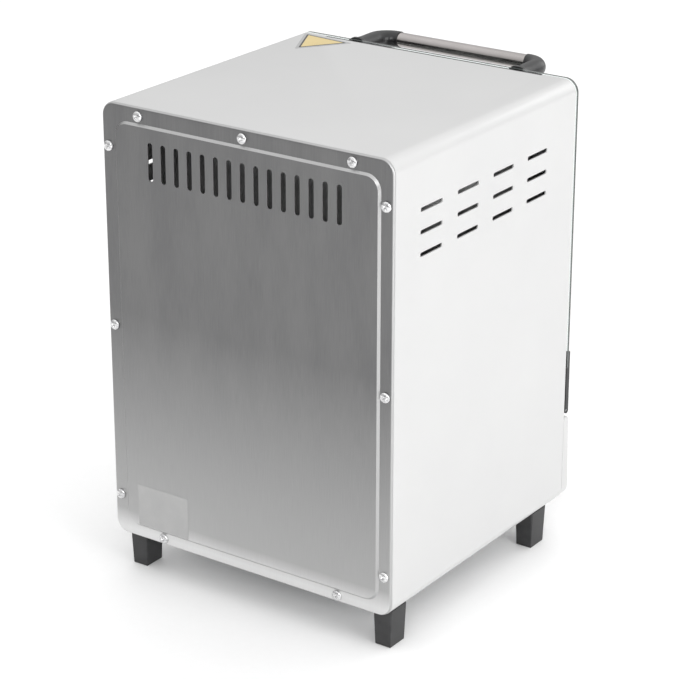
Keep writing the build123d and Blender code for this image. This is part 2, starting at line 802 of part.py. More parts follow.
# Sensor clips, two saddles on the chamber wall
with BuildPart() as sensor_clips:
    for share in (0.2, 0.8):
        with BuildSketch(facing_front(bulb_start_y + bulb_l * share + bulb_clip_w / 2)):
            with Locations((bulb_x, bulb_z)):
                Circle(bulb_r + close_play + bulb_clip_t)
            with Locations((-chamber_w / 2, bulb_z)):
                Rectangle(bulb_wall_gap, 2 * bulb_clip_t, align=(Align.MIN, Align.CENTER))
            with Locations((bulb_x, bulb_z)):
                Circle(bulb_r + close_play, mode=Mode.SUBTRACT)
        extrude(amount=bulb_clip_w)
save(sensor_clips, "sensor_clips")

# Base plate on the bottom lips
base_w = body_w - 2 * body_r - fit_gap
base_front_y = frame_back_y + fit_gap
base_rear_y = rear_y - sheet_t - fit_gap
bushing_y = rear_y - bushing_from_rear
with BuildPart() as base_plate:
    with BuildSketch(Plane.XY.offset(lip_top_z)):
        with Locations((0, (base_front_y + base_rear_y) / 2)):
            Rectangle(base_w, base_rear_y - base_front_y)
        with Locations(*foot_spots):
            Circle(foot_screw_r + screw_play, mode=Mode.SUBTRACT)
        with Locations((0, bushing_y)):
            Circle(bushing_r + close_play, mode=Mode.SUBTRACT)
    extrude(amount=base_t)
save(base_plate, "base_plate")

# Cord bushing in the base plate
with BuildPart() as cord_bushing:
    with BuildSketch(Plane.XY.offset(lip_top_z - sheet_t)):
        with Locations((0, bushing_y)):
            Circle(bushing_flange_r)
    extrude(amount=sheet_t)
    with BuildSketch(Plane.XY.offset(lip_top_z)):
        with Locations((0, bushing_y)):
            Circle(bushing_r)
    extrude(amount=base_t)
    with BuildSketch(Plane.XY.offset(base_top_z)):
        with Locations((0, bushing_y)):
            Circle(bushing_flange_r)
    extrude(amount=bushing_flange_t)
    with BuildSketch(Plane.XY.offset(lip_top_z - sheet_t)):
        with Locations((0, bushing_y)):
            Circle(bushing_bore_r)
    extrude(amount=sheet_t + base_t + bushing_flange_t, mode=Mode.SUBTRACT)
save(cord_bushing, "cord_bushing")

# Terminal block on the base plate
terminal_x = body_w / 2 - terminal_from_side
terminal_y = rear_y - terminal_from_rear
with BuildPart() as terminal_block:
    with BuildSketch(Plane.XY.offset(base_top_z)):
        with Locations((terminal_x, terminal_y)):
            Rectangle(terminal_l, terminal_w)
    extrude(amount=terminal_h)
    with BuildSketch(Plane.XY.offset(base_top_z + terminal_h / 2)):
        with Locations((terminal_x, terminal_y)):
            with GridLocations(terminal_pitch, terminal_w / 2, 3, 2):
                Circle(terminal_hole_r)
    extrude(amount=terminal_h / 2, mode=Mode.SUBTRACT)
save(terminal_block, "terminal_block")

# Feet, tapered black blocks with a blind hole for the foot screw
for side_name, side in (("left", -1), ("right", 1)):
    for end_name, spot_y in foot_ys.items():
        with BuildPart() as foot:
            with BuildSketch(Plane(origin=(0, 0, foot_h), x_dir=(1, 0, 0), z_dir=(0, 0, -1))):
                with Locations((side * foot_x, -spot_y)):
                    RectangleRounded(foot_top_w, foot_top_l, foot_side_r)
            extrude(amount=foot_h, taper=foot_taper)
            fillet(foot.faces().sort_by(Axis.Z)[0].outer_wire().edges(), foot_low_r)
            with BuildSketch(Plane.XY.offset(foot_h)):
                with Locations((side * foot_x, spot_y)):
                    Circle(foot_screw_r + close_play)
            extrude(amount=-foot_screw_in - screw_play, mode=Mode.SUBTRACT)
        save(foot, "foot_" + end_name + "_" + side_name)

# Foot screws, heads on the base plate inside
with BuildPart() as foot_screws:
    with BuildSketch(Plane.XY.offset(foot_h - foot_screw_in)):
        with Locations(*foot_spots):
            Circle(foot_screw_r)
    extrude(amount=foot_screw_in + sheet_t + base_t)
    with BuildSketch(Plane.XY.offset(base_top_z)):
        with Locations(*foot_spots):
            Circle(foot_screw_head_r)
    extrude(amount=foot_screw_head_t)
    fillet(foot_screws.edges().group_by(Axis.Z)[-1], foot_screw_head_t * 0.3)
save(foot_screws, "foot_screws")

# Door glass, full width pane with rounded upper corners
glass_low_z = foot_h + rail_high - rail_rebate
handle_screw_x = arm_in_x + arm_w / 2
handle_screw_z = top_z - handle_screw_drop
handle_screw_spots = [(s * handle_screw_x, handle_screw_z) for s in (-1, 1)]
with BuildPart() as door_glass:
    with BuildSketch(facing_front(glass_back_y)):
        with Locations((0, glass_low_z)):
            Rectangle(body_w, top_z - glass_low_z, align=(Align.CENTER, Align.MIN))
        with Locations(*handle_screw_spots):
            Circle(handle_screw_hole_r, mode=Mode.SUBTRACT)
    extrude(amount=glass_t)
    fillet(door_glass.edges().filter_by(Axis.Y).group_by(Axis.Z)[-1], body_r)
save(door_glass, "door_glass")

# Door rail, black profile along the lower edge of the glass, turning on the hinge pins
notch_w = hinge_ear_t + 2 * hinge_side_play
notch_top_z = pivot_z + hinge_ear_r + hinge_top_play
hinge_pin_in = body_w / 2 - hinge_pin_reach
with BuildPart() as door_rail:
    with BuildSketch(Plane.YZ.offset(-body_w / 2)):
        with BuildLine():
            Line((glass_back_y, pivot_z), (glass_back_y, glass_low_z))
            Line((glass_back_y, glass_low_z), (glass_front_y, glass_low_z))
            Line((glass_front_y, glass_low_z), (glass_front_y, foot_h + rail_high))
            Line((glass_front_y, foot_h + rail_high), (rail_front_y, foot_h + rail_high))
            Line((rail_front_y, foot_h + rail_high), (rail_front_y, pivot_z))
            ThreePointArc((rail_front_y, pivot_z), (pivot_y, pivot_z - pivot_r), (glass_back_y, pivot_z))
        make_face()
    extrude(amount=body_w)
    with BuildSketch(facing_front(glass_back_y)):
        with Locations((-hinge_x, notch_top_z), (hinge_x, notch_top_z)):
            Rectangle(notch_w, notch_top_z - foot_h, align=(Align.CENTER, Align.MAX))
    extrude(amount=glass_back_y - rail_front_y, mode=Mode.SUBTRACT)
    for side in (-1, 1):
        with BuildSketch(Plane.YZ.offset(side * hinge_pin_in)):
            with Locations((pivot_y, pivot_z)):
                Circle(hinge_pin_r + close_play)
        extrude(amount=side * (body_w / 2 - hinge_pin_in), mode=Mode.SUBTRACT)
save(door_rail, "door_rail")

# Hinge brackets with pins, screwed to the front frame
leaf_top_z = leaf_low_z + hinge_leaf_h
stop_front_y = front_y - hinge_stop_reach
for side_name, side in (("left", -1), ("right", 1)):
    with BuildPart() as hinge_bracket:
        with BuildSketch(Plane.YZ.offset(side * hinge_x - hinge_leaf_w / 2)):
            with BuildLine():
                Polyline(
                    (frame_y, leaf_low_z),
                    (stop_front_y, leaf_low_z),
                    (stop_front_y, leaf_low_z + hinge_stop_t),
                    (frame_y - hinge_leaf_t, leaf_low_z + hinge_stop_t),
                    (frame_y - hinge_leaf_t, leaf_top_z),
                    (frame_y, leaf_top_z),
                    close=True,
                )
            make_face()
        extrude(amount=hinge_leaf_w)
        with BuildSketch(Plane.YZ.offset(side * hinge_x - hinge_ear_t / 2)):
            with Locations((pivot_y, pivot_z)):
                Circle(hinge_ear_r)
                Rectangle(2 * hinge_ear_r, pivot_z - leaf_low_z, align=(Align.CENTER, Align.MAX))
                Circle(hinge_pin_r + close_play, mode=Mode.SUBTRACT)
        extrude(amount=hinge_ear_t)
        with BuildSketch(facing_front(frame_y)):
            with Locations(*[(x, z) for x, z in hinge_screw_spots if x * side > 0]):
                Circle(hinge_screw_r + screw_play)
        extrude(amount=hinge_leaf_t, mode=Mode.SUBTRACT)
        with BuildSketch(facing_rear(frame_y - hinge_leaf_t)):
            with Locations(*[(-x, z) for x, z in hinge_screw_spots if x * side > 0]):
                Circle(hinge_screw_head_r + screw_play)
        extrude(amount=hinge_screw_head_r - hinge_screw_r, taper=45, mode=Mode.SUBTRACT)
    save(hinge_bracket, "hinge_bracket_" + side_name)
    with BuildPart() as hinge_pin:
        with BuildSketch(Plane.YZ.offset(side * hinge_pin_in)):
            with Locations((pivot_y, pivot_z)):
                Circle(hinge_pin_r)
        extrude(amount=side * (body_w / 2 - hinge_pin_in - hinge_pin_inset))
    save(hinge_pin, "hinge_pin_" + side_name)

# Hinge screws, countersunk
with BuildPart() as hinge_screws:
    with BuildSketch(facing_rear(frame_y - hinge_leaf_t)):
        with Locations(*hinge_screw_spots):
            Circle(hinge_screw_head_r)
    extrude(amount=hinge_screw_head_r - hinge_screw_r, taper=45)
    with BuildSketch(facing_rear(frame_y - hinge_leaf_t)):
        with Locations(*hinge_screw_spots):
            Circle(hinge_screw_r)
    extrude(amount=hinge_screw_l)
save(hinge_screws, "hinge_screws")

# Handle tube
plug_x = collar_x + tube_plug
with BuildPart() as handle_tube:
    with BuildSketch(Plane.YZ.offset(-plug_x)):
        with Locations((handle_y, handle_z)):
            Circle(tube_r)
            Circle(tube_r - tube_wall, mode=Mode.SUBTRACT)
    extrude(amount=2 * plug_x)
save(handle_tube, "handle_tube")

# Handle brackets, black mouldings with a foot on the glass and a socket for the tube
arm_out_x = arm_in_x + arm_w
arm_front_y = handle_y - collar_r
pad_high_z = top_z + pad_rise
pad_low_z = top_z - pad_low_drop
for side_name, side in (("left", -1), ("right", 1)):
    with BuildPart() as handle_bracket:
        with BuildSketch(Plane.XY.offset(top_z - arm_low_drop)):
            with BuildLine():
                Line((side * arm_in_x, glass_front_y), (side * arm_out_x, glass_front_y))
                Line((side * arm_out_x, glass_front_y), (side * arm_out_x, arm_front_y + arm_w))
                RadiusArc(
                    (side * arm_out_x, arm_front_y + arm_w),
                    (side * arm_in_x, arm_front_y),
                    side * arm_w,
                )
                Line((side * arm_in_x, arm_front_y), (side * arm_in_x, glass_front_y))
            make_face()
        extrude(amount=arm_low_drop - arm_high_drop)
        arm_top = handle_bracket.faces().sort_by(Axis.Z)[-1]
        outer = arm_top.edges().filter_by(lambda e: abs(e.center().X) > arm_in_x + arm_w * 0.6)
        fillet(outer, arm_round)
        with BuildSketch(facing_front(glass_front_y)):
            with Locations((side * handle_screw_x, (pad_high_z + pad_low_z) / 2)):
                SlotOverall(pad_high_z - pad_low_z, arm_w, rotation=90)
        extrude(amount=pad_t)
        with BuildSketch(Plane.YZ.offset(side * collar_x)):
            with Locations((handle_y, handle_z)):
                Circle(collar_r)
        extrude(amount=side * (handle_screw_x - collar_x))
        with BuildSketch(Plane.YZ.offset(side * collar_x)):
            with Locations((handle_y, handle_z)):
                Circle(tube_r + close_play)
        extrude(amount=side * (tube_plug + close_play), mode=Mode.SUBTRACT)
        with BuildSketch(facing_front(glass_front_y)):
            with Locations((side * handle_screw_x, handle_screw_z)):
                Circle(handle_screw_r + close_play)
        extrude(amount=handle_screw_l - glass_t + close_play, mode=Mode.SUBTRACT)
    save(handle_bracket, "handle_bracket_" + side_name)

# Handle screws, heads behind the glass
with BuildPart() as handle_screws:
    with BuildSketch(facing_front(glass_back_y)):
        with Locations(*handle_screw_spots):
            Circle(handle_screw_r)
    extrude(amount=handle_screw_l)
    with BuildSketch(facing_rear(glass_back_y)):
        with Locations(*handle_screw_spots):
            Circle(handle_screw_head_r)
    extrude(amount=handle_screw_head_t)
save(handle_screws, "handle_screws")
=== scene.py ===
import math

import bmesh
import bpy
from mathutils import Matrix, Vector


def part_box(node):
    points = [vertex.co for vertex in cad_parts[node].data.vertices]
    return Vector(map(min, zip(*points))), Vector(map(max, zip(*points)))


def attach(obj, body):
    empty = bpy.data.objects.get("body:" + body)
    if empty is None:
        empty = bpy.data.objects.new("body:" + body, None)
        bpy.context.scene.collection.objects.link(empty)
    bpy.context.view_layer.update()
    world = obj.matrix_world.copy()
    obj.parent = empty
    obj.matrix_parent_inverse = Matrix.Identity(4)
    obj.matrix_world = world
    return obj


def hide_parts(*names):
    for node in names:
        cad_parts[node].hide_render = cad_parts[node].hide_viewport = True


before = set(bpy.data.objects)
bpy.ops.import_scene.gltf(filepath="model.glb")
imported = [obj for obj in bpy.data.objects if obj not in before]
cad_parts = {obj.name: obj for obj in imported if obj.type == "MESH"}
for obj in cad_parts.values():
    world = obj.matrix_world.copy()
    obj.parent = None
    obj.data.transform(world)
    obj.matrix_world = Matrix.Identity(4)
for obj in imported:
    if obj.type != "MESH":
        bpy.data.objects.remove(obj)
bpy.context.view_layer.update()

# Metres, in the model's frame. The rear of the cabinet faces +Y and the door faces -Y.
MM = 0.001

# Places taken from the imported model
casing_low, casing_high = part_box("casing")
panel_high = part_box("rear_panel")[1]
FIELD_RISE = 1.6 * MM
CASING_Y = (casing_low.y + casing_high.y) / 2
TOP_Z = casing_high.z
BODY_BOTTOM_Z = casing_low.z
RIM_Y = panel_high.y - FIELD_RISE
FIELD_Y = panel_high.y


# ---------------------------------------------------------------- materials

def new_material(name):
    material = bpy.data.materials.new(name)
    material.use_nodes = True
    nodes = material.node_tree.nodes
    return material, material.node_tree, nodes["Principled BSDF"]


def object_coords(tree, scale):
    place = tree.nodes.new("ShaderNodeTexCoord")
    mapping = tree.nodes.new("ShaderNodeMapping")
    mapping.inputs["Scale"].default_value = scale
    tree.links.new(place.outputs["Object"], mapping.inputs["Vector"])
    return mapping.outputs["Vector"]


def noise(tree, scale, detail=3.0, roughness=0.5):
    texture = tree.nodes.new("ShaderNodeTexNoise")
    texture.inputs["Scale"].default_value = 1.0
    texture.inputs["Detail"].default_value = detail
    texture.inputs["Roughness"].default_value = roughness
    tree.links.new(object_coords(tree, scale), texture.inputs["Vector"])
    return texture.outputs["Fac"]


def remap(tree, value, low, high, start=0.3, stop=0.7):
    node = tree.nodes.new("ShaderNodeMapRange")
    node.inputs["From Min"].default_value = start
    node.inputs["From Max"].default_value = stop
    node.inputs["To Min"].default_value = low
    node.inputs["To Max"].default_value = high
    tree.links.new(value, node.inputs["Value"])
    return node.outputs["Result"]


def mix_colours(tree, factor, first, second):
    node = tree.nodes.new("ShaderNodeMix")
    node.data_type = "RGBA"
    tree.links.new(factor, node.inputs["Factor"])
    for socket, colour in (("A", first), ("B", second)):
        target = [i for i in node.inputs if i.name == socket and i.type == "RGBA"][0]
        if isinstance(colour, tuple):
            target.default_value = (*colour, 1.0)
        else:
            tree.links.new(colour, target)
    return [o for o in node.outputs if o.type == "RGBA"][0]


def add_values(tree, first, second, share):
    node = tree.nodes.new("ShaderNodeMath")
    node.operation = "MULTIPLY_ADD"
    tree.links.new(second, node.inputs[0])
    node.inputs[1].default_value = share
    tree.links.new(first, node.inputs[2])
    return node.outputs["Value"]


def bump(tree, shader, height, strength, distance):
    node = tree.nodes.new("ShaderNodeBump")
    node.inputs["Strength"].default_value = strength
    node.inputs["Distance"].default_value = distance
    tree.links.new(height, node.inputs["Height"])
    tree.links.new(node.outputs["Normal"], shader.inputs["Normal"])


# How far from its middle the noise is stretched to the full span of a colour or gloss pair
NOISE_SPAN = 0.2
# Noise scale of a sheet brushed upright
BRUSHED = (2600, 2600, 60)


def finish(name, dark, light, rough, metallic=0.0, patch=(60, 60, 60), grain=(900, 900, 900),
           grain_share=0.35, bump_strength=0.1, bump_distance=0.0001, coat=0.0,
           coat_rough=0.15, specular=0.5):
    """A surface with soft patches and a fine grain in its colour, its gloss and its relief."""
    material, tree, shader = new_material(name)
    patches = noise(tree, patch, detail=4.0, roughness=0.6)
    fine = noise(tree, grain, detail=2.0, roughness=0.6)
    both = add_values(tree, patches, fine, grain_share)
    middle = 0.5 + 0.5 * grain_share
    low, high = middle - NOISE_SPAN, middle + NOISE_SPAN
    spread = remap(tree, both, 0.0, 1.0, low, high)
    tree.links.new(mix_colours(tree, spread, dark, light), shader.inputs["Base Color"])
    tree.links.new(remap(tree, both, rough[0], rough[1], low, high), shader.inputs["Roughness"])
    shader.inputs["Metallic"].default_value = metallic
    shader.inputs["Specular IOR Level"].default_value = specular
    shader.inputs["Coat Weight"].default_value = coat
    shader.inputs["Coat Roughness"].default_value = coat_rough
    bump(tree, shader, fine, bump_strength, bump_distance)
    return material


def fade_down(material, dark, light, low_z, high_z):
    """Paints a reflection into a sheet: lets its colour run from its own at high_z to a lighter
    pair at low_z, as painted light.
    """
    tree = material.node_tree
    shader = tree.nodes["Principled BSDF"]
    own = shader.inputs["Base Color"].links[0].from_socket
    lighter = mix_colours(tree, noise(tree, BRUSHED), dark, light)
    split = tree.nodes.new("ShaderNodeSeparateXYZ")
    tree.links.new(object_coords(tree, (1, 1, 1)), split.inputs["Vector"])
    height = remap(tree, split.outputs["Z"], 0.0, 1.0, low_z, high_z)
    tree.links.new(mix_colours(tree, height, lighter, own), shader.inputs["Base Color"])


def brighten_bends(material, dark, light):
    """Paints highlights: gives the bends, bevels and cut edges of a sheet that faces +Y or -Y a
    brighter metal colour, a painted highlight.
    """
    tree = material.node_tree
    shader = tree.nodes["Principled BSDF"]
    own = shader.inputs["Base Color"].links[0].from_socket
    grain = mix_colours(tree, noise(tree, BRUSHED), dark, light)
    place = tree.nodes.new("ShaderNodeTexCoord")
    split = tree.nodes.new("ShaderNodeSeparateXYZ")
    tree.links.new(place.outputs["Normal"], split.inputs["Vector"])
    size = tree.nodes.new("ShaderNodeMath")
    size.operation = "ABSOLUTE"
    tree.links.new(split.outputs["Y"], size.inputs[0])
    flat = remap(tree, size.outputs["Value"], 0.0, 1.0, 0.80, 0.97)
    tree.links.new(mix_colours(tree, flat, grain, own), shader.inputs["Base Color"])


def glass(name, colour, rough):
    material, tree, shader = new_material(name)
    smudge = noise(tree, (25, 25, 25), detail=5.0, roughness=0.6)
    tree.links.new(remap(tree, smudge, rough, rough + 0.04, 0.45, 0.75), shader.inputs["Roughness"])
    shader.inputs["Base Color"].default_value = (*colour, 1.0)
    shader.inputs["Transmission Weight"].default_value = 1.0
    shader.inputs["IOR"].default_value = 1.5
    return material


PAINT = finish("white_powder_paint", (0.51, 0.51, 0.51), (0.53, 0.53, 0.528), (0.31, 0.33),
               patch=(9, 9, 9), grain=(1400, 1400, 1400), grain_share=0.3,
               bump_strength=0.12, bump_distance=0.00006, coat=0.35, coat_rough=0.12)
REAR_STEEL = finish("satin_rear_sheet_painted_light", (0.165, 0.165, 0.167), (0.205, 0.205, 0.205),
                    (0.34, 0.44), 1.0, patch=(38, 38, 12), grain=BRUSHED,
                    grain_share=0.8, bump_strength=0.3, bump_distance=0.00003)
# Painted reflection: the rear sheet is coloured lighter towards the bottom, and lighter again along
# its bottom band.
fade_down(REAR_STEEL, (0.41, 0.41, 0.41), (0.49, 0.49, 0.488), 0.03, 0.20)
fade_down(REAR_STEEL, (0.66, 0.66, 0.66), (0.76, 0.76, 0.758), 0.034, 0.048)
# Painted highlight: the rear sheet's bends and bevels are coloured brighter than its flats.
brighten_bends(REAR_STEEL, (0.40, 0.40, 0.40), (0.52, 0.52, 0.52))
LINER_STEEL = finish("stainless_liner", (0.55, 0.55, 0.56), (0.62, 0.62, 0.62), (0.27, 0.32), 1.0,
                     patch=(6, 6, 6), grain=(2400, 60, 2400), grain_share=0.6,
                     bump_strength=0.12, bump_distance=0.00002)
CHAMBER_STEEL = finish("stainless_chamber", (0.55, 0.55, 0.56), (0.62, 0.62, 0.62), (0.28, 0.33),
                       0.6, patch=(6, 6, 6), grain=(2400, 60, 2400), grain_share=0.6,
                       bump_strength=0.12, bump_distance=0.00002)
# Painted reflections: the plating's colour runs in small dark and bright patches that stand in for
# what a mirror plating reflects.
CHROME = finish("screw_plating_painted_glints", (0.42, 0.42, 0.43), (0.92, 0.92, 0.92), (0.08, 0.20), 1.0,
                patch=(700, 700, 700), grain=(4000, 4000, 4000), bump_strength=0.1,
                bump_distance=0.00003)
ZINC = finish("zinc_plate", (0.42, 0.43, 0.44), (0.60, 0.61, 0.62), (0.30, 0.48), 1.0,
              patch=(160, 160, 160), grain=(1200, 1200, 1200), bump_strength=0.15)
BLACK_ENAMEL = finish("black_enamel", (0.012, 0.012, 0.013), (0.02, 0.02, 0.021), (0.26, 0.36),
                      patch=(40, 40, 40), grain=(1500, 1500, 1500), bump_distance=0.00005,
                      coat=0.3, specular=0.15)
BLACK_PLASTIC = finish("black_moulded_plastic", (0.010, 0.010, 0.011), (0.022, 0.022, 0.023),
                       (0.30, 0.42), patch=(120, 120, 120), grain=(2200, 2200, 2200),
                       bump_strength=0.2, bump_distance=0.00004)
KNOB_PLASTIC = finish("matt_knob_plastic", (0.014, 0.014, 0.015), (0.030, 0.030, 0.031),
                      (0.45, 0.60), patch=(150, 150, 150), grain=(2600, 2600, 2600),
                      bump_strength=0.3, bump_distance=0.00005)
CONTROL_PLASTIC = finish("grey_control_plastic", (0.10, 0.10, 0.105), (0.17, 0.17, 0.175),
                         (0.45, 0.6), patch=(120, 120, 120), grain=(1800, 1800, 1800))
BLACK_ALUMINIUM = finish("black_anodised_rail", (0.010, 0.010, 0.011), (0.026, 0.026, 0.027),
                         (0.30, 0.40), 0.3, patch=(12, 60, 60), grain=(60, 1500, 1500),
                         bump_strength=0.2, bump_distance=0.00004)
TRAY_ALUMINIUM = finish("satin_tray_aluminium", (0.58, 0.58, 0.59), (0.72, 0.72, 0.72),
                        (0.30, 0.44), 1.0, patch=(40, 40, 40), grain=(70, 1900, 1900),
                        grain_share=0.8, bump_strength=0.3, bump_distance=0.00003)
HANDLE_STEEL = finish("handle_tube_steel", (0.36, 0.34, 0.332), (0.44, 0.416, 0.408),
                      (0.16, 0.22), 1.0, patch=(12, 12, 12), grain=(60, 4000, 4000),
                      grain_share=0.5, bump_strength=0.1, bump_distance=0.00002)
ELEMENT_STEEL = finish("oxidised_element_sheath", (0.09, 0.075, 0.065), (0.24, 0.21, 0.19),
                       (0.38, 0.58), 0.9, patch=(90, 30, 90), grain=(1500, 1500, 1500))
SILICONE = finish("black_silicone", (0.012, 0.012, 0.012), (0.026, 0.026, 0.026), (0.48, 0.62),
                  patch=(60, 60, 60), grain=(1500, 1500, 1500))
RUBBER = finish("black_foot_rubber", (0.014, 0.014, 0.015), (0.034, 0.034, 0.035), (0.42, 0.58),
                patch=(150, 150, 150), grain=(1800, 1800, 1800), bump_strength=0.25)
BRASS = finish("plated_brass", (0.62, 0.46, 0.24), (0.80, 0.64, 0.36), (0.22, 0.36), 1.0,
               patch=(200, 200, 200), grain=(2000, 2000, 2000))
COPPER = finish("bare_copper_tube", (0.50, 0.27, 0.17), (0.72, 0.42, 0.29), (0.25, 0.42), 1.0,
                patch=(90, 90, 90), grain=(2000, 2000, 2000))
TERMINAL_PLASTIC = finish("terminal_plastic", (0.66, 0.64, 0.58), (0.76, 0.74, 0.68),
                          (0.42, 0.55), patch=(120, 120, 120), grain=(1800, 1800, 1800))
RED_LENS = finish("red_lamp_lens", (0.42, 0.012, 0.010), (0.60, 0.022, 0.016), (0.10, 0.18),
                  patch=(300, 300, 300), grain=(900, 900, 900), coat=0.6, coat_rough=0.05)
AMBER_LENS = finish("amber_lamp_lens", (0.62, 0.17, 0.010), (0.80, 0.26, 0.020), (0.10, 0.18),
                    patch=(300, 300, 300), grain=(900, 900, 900), coat=0.6, coat_rough=0.05)
STICKER_FILM = finish("silver_sticker_film", (0.35, 0.35, 0.35), (0.39, 0.39, 0.387),
                      (0.32, 0.42), 0.15, patch=(60, 60, 60), grain=(1200, 1200, 1200),
                      bump_distance=0.00003, coat=0.5, coat_rough=0.2)
STICKER_YELLOW = finish("pale_yellow_print", (0.62, 0.47, 0.16), (0.68, 0.52, 0.20),
                        (0.32, 0.42), patch=(80, 80, 80), grain=(1200, 1200, 1200),
                        coat=0.5, coat_rough=0.2)
DARK_PRINT = finish("dark_print", (0.03, 0.03, 0.03), (0.05, 0.05, 0.05), (0.40, 0.55),
                    patch=(80, 80, 80), grain=(1500, 1500, 1500))
WHITE_PRINT = finish("white_print", (0.78, 0.78, 0.77), (0.84, 0.84, 0.83), (0.40, 0.50),
                     patch=(80, 80, 80), grain=(1500, 1500, 1500))
GLASS = glass("clear_door_glass", (0.90, 0.955, 0.935), 0.0)
GLASS_EDGE = finish("ground_glass_edge", (0.050, 0.056, 0.055), (0.095, 0.105, 0.102),
                    (0.22, 0.34), patch=(60, 60, 60), grain=(1500, 1500, 1500),
                    coat=0.5, coat_rough=0.1, specular=0.15)


# ---------------------------------------------------------------- carried-over solids

NODE_FINISH = {
    "casing": PAINT, "control_panel": PAINT, "rear_panel": REAR_STEEL,
    "front_frame": BLACK_ENAMEL, "door_gasket": SILICONE, "chamber": CHAMBER_STEEL,
    "shelf_runners": LINER_STEEL, "shelf_tray_lower": TRAY_ALUMINIUM,
    "shelf_tray_upper": TRAY_ALUMINIUM, "shelf_tray_lower_rim": TRAY_ALUMINIUM,
    "shelf_tray_upper_rim": TRAY_ALUMINIUM, "heating_elements": ELEMENT_STEEL,
    "element_clips": LINER_STEEL, "element_guard": LINER_STEEL, "panel_nuts": ZINC,
    "temperature_controller": CONTROL_PLASTIC, "timer": CONTROL_PLASTIC,
    "temperature_nut": BRASS, "timer_nut": BRASS, "temperature_shaft": BRASS,
    "timer_shaft": BRASS, "temperature_knob": KNOB_PLASTIC, "timer_knob": KNOB_PLASTIC,
    "power_lamp": RED_LENS, "heating_lamp": AMBER_LENS, "temperature_sensor": COPPER,
    "sensor_clips": LINER_STEEL, "base_plate": ZINC, "cord_bushing": BLACK_PLASTIC,
    "terminal_block": TERMINAL_PLASTIC, "foot_screws": ZINC, "door_glass": GLASS,
    "door_rail": BLACK_ALUMINIUM, "hinge_bracket_left": BLACK_ENAMEL,
    "hinge_bracket_right": BLACK_ENAMEL, "hinge_pin_left": CHROME, "hinge_pin_right": CHROME,
    "hinge_screws": CHROME, "handle_tube": HANDLE_STEEL, "handle_bracket_left": BLACK_PLASTIC,
    "handle_bracket_right": BLACK_PLASTIC, "handle_screws": CHROME, "rear_screws": CHROME,
    "foot_front_left": RUBBER, "foot_front_right": RUBBER, "foot_rear_left": RUBBER,
    "foot_rear_right": RUBBER,
}
# Width of the small rounding on the sharp edges of each solid
USUAL_EDGE_WIDTH = 0.00025
EDGE_WIDTH = {
    "casing": 0.00018, "rear_panel": 0.00032, "chamber": 0.00015, "shelf_runners": 0.00015,
    "shelf_tray_lower": 0.0002, "shelf_tray_upper": 0.0002, "element_guard": 0.0002,
    "front_frame": 0.00015, "door_glass": 0.0003, "foot_front_left": 0.0004,
    "foot_front_right": 0.0004, "foot_rear_left": 0.0004, "foot_rear_right": 0.0004,
}
WELD_REACH = 1e-6
FLAT_ANGLE = math.radians(0.3)
SHARP_ANGLE = math.radians(35)


def soften(solid, width):
    """Welds the mesh, clears its flat facets and rounds its sharp edges a little."""
    if "custom_normal" in solid.data.attributes:
        solid.data.attributes.remove(solid.data.attributes["custom_normal"])
    solid.data.shade_smooth()
    weld = solid.modifiers.new("weld", "WELD")
    weld.merge_threshold = WELD_REACH
    flats = solid.modifiers.new("flats", "DECIMATE")
    flats.decimate_type = "DISSOLVE"
    flats.angle_limit = FLAT_ANGLE
    edges = solid.modifiers.new("edges", "BEVEL")
    edges.width = width
    edges.segments = 2
    edges.limit_method = "ANGLE"
    edges.angle_limit = SHARP_ANGLE
    edges.harden_normals = True


for node_name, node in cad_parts.items():
    node.data.materials.clear()
    node.data.materials.append(NODE_FINISH[node_name])
    soften(node, EDGE_WIDTH.get(node_name, USUAL_EDGE_WIDTH))

# The faces round the edge of the glass are ground
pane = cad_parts["door_glass"]
pane.data.materials.append(GLASS_EDGE)
for polygon in pane.data.polygons:
    if abs(polygon.normal.y) < 0.5:
        polygon.material_index = 1


# ---------------------------------------------------------------- mesh helpers

def plain_object(bm, name):
    mesh = bpy.data.meshes.new(name)
    bm.to_mesh(mesh)
    bm.free()
    piece = bpy.data.objects.new(name, mesh)
    bpy.context.scene.collection.objects.link(piece)
    return piece


def object_from(bm, name, material, body, smooth=True):
    """A piece of the model, with its material, on the body that it moves with."""
    piece = plain_object(bm, name)
    piece.data.materials.append(material)
    if smooth:
        piece.data.shade_smooth()
    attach(piece, body)
    return piece


def take_in(bm, part):
    """Moves the whole of one working mesh into another."""
    spare = bpy.data.meshes.new("spare")
    part.to_mesh(spare)
    part.free()
    bm.from_mesh(spare)
    bpy.data.meshes.remove(spare)


def join_rings(bm, low, high):
    """Faces between two rings that have the same number of vertices."""
    for i in range(len(low)):
        j = (i + 1) % len(low)
        bm.faces.new((low[i], low[j], high[j], high[i]))


def prism(bm, low, high):
    """A closed block between two outlines."""
    bm.faces.new(high)
    bm.faces.new(list(reversed(low)))
    join_rings(bm, low, high)


def rounded_plate(corners, corner_r, segments, depth):
    """A plate from its outline to the same outline moved by depth, with rounded corners."""
    bm = bmesh.new()
    bm.faces.new([bm.verts.new(spot) for spot in corners])
    bmesh.ops.bevel(bm, geom=bm.verts[:], offset=corner_r, segments=segments,
                    affect="VERTICES", profile=0.5)
    far = bmesh.ops.extrude_face_region(bm, geom=bm.faces[:])
    moved = [v for v in far["geom"] if isinstance(v, bmesh.types.BMVert)]
    bmesh.ops.translate(bm, verts=moved, vec=depth)
    return bm


def in_mm(points):
    return [tuple(value * MM for value in point) for point in points]


